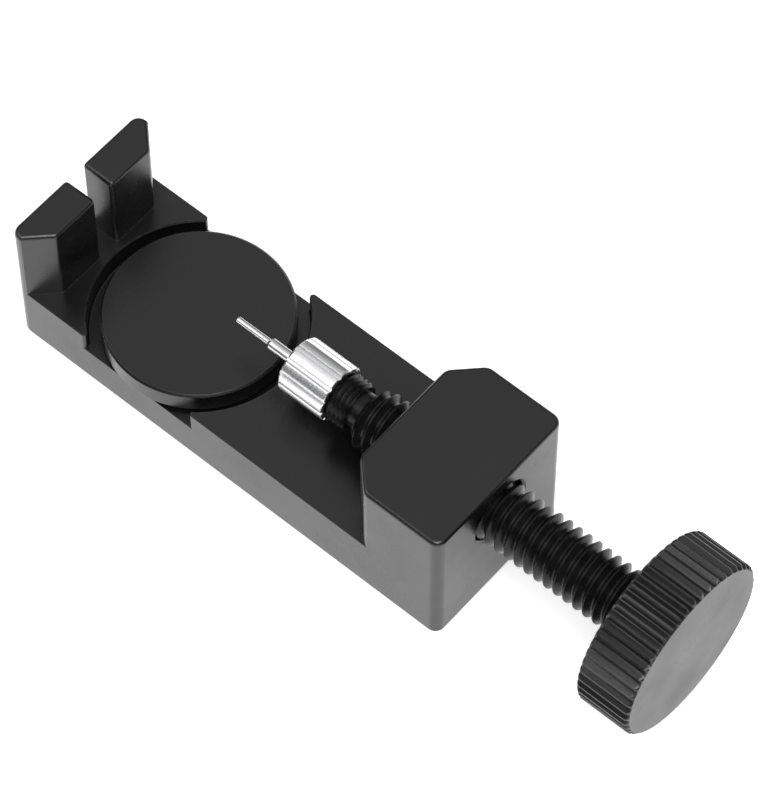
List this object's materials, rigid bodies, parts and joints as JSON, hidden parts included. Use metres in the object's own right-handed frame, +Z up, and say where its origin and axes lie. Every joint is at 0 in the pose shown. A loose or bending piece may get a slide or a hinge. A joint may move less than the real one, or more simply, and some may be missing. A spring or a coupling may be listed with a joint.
{
  "type": "watch bracelet pin remover",
  "caption": "Bench screw press that pushes the pins out of watch bracelet links: forked anvil wall, turning stage, threaded punch feed and knurled knob.",
  "frame": {"origin": "middle of the tool's bounding box in plan, on the surface that it stands on", "axes": "+X from the anvil wall to the knob along the screw, +Z up, +Y to the left of the screw seen from the knob"},
  "size_m": [0.105, 0.0264, 0.0293],
  "materials": {
    "black_anodised": "black anodised, satin",
    "stage_anodised": "black anodised, satin, turned",
    "knob_anodised": "black anodised, straight knurl, faced end",
    "black_steel": "black oxide, lightly oiled",
    "spring_steel": "plain spring steel",
    "bright_plated": "bright plated, finely turned",
    "pin_steel": "hardened steel, ground"
  },
  "bodies": {
    "frame": {"frame_body": "black_anodised"},
    "punch": {"punch_pin": "pin_steel"},
    "spindle": {"feed_screw": "black_steel", "knob": "knob_anodised"},
    "chuck": {"chuck_cap": "bright_plated"},
    "stage_post": {"stage_stem": "black_steel", "stage_clip": "spring_steel"},
    "stage": {"stage_disc": "stage_anodised"}
  },
  "joints": [
    {"name": "feed_travel", "type": "slide", "parent": "frame", "child": "punch", "axis": [-1, 0, 0], "range_m": [-0.0102, 0.0225]},
    {"name": "knob_turn", "type": "hinge", "parent": "punch", "child": "spindle", "pos_m": [0.0485, 0, 0.01628], "axis": [-1, 0, 0], "range_deg": [-2290, 5060]},
    {"name": "cap_release", "type": "slide", "parent": "spindle", "child": "chuck", "axis": [-1, 0, 0], "range_m": [0, 0.008]},
    {"name": "stage_lift", "type": "slide", "parent": "frame", "child": "stage_post", "axis": [0, 0, 1], "range_m": [-0.0005, 0.0012]},
    {"name": "stage_turn", "type": "hinge", "parent": "stage_post", "child": "stage", "pos_m": [-0.031, 0, 0.0106], "axis": [0, 0, 1], "range_deg": [-179, 430]}
  ],
  "couplings": [
    {"joint": "feed_travel", "follows": "knob_turn", "m_per_rad": 0.00025465},
    {"joint": "stage_lift", "follows": "stage_turn", "m_per_rad": 0.00015915}
  ]
}
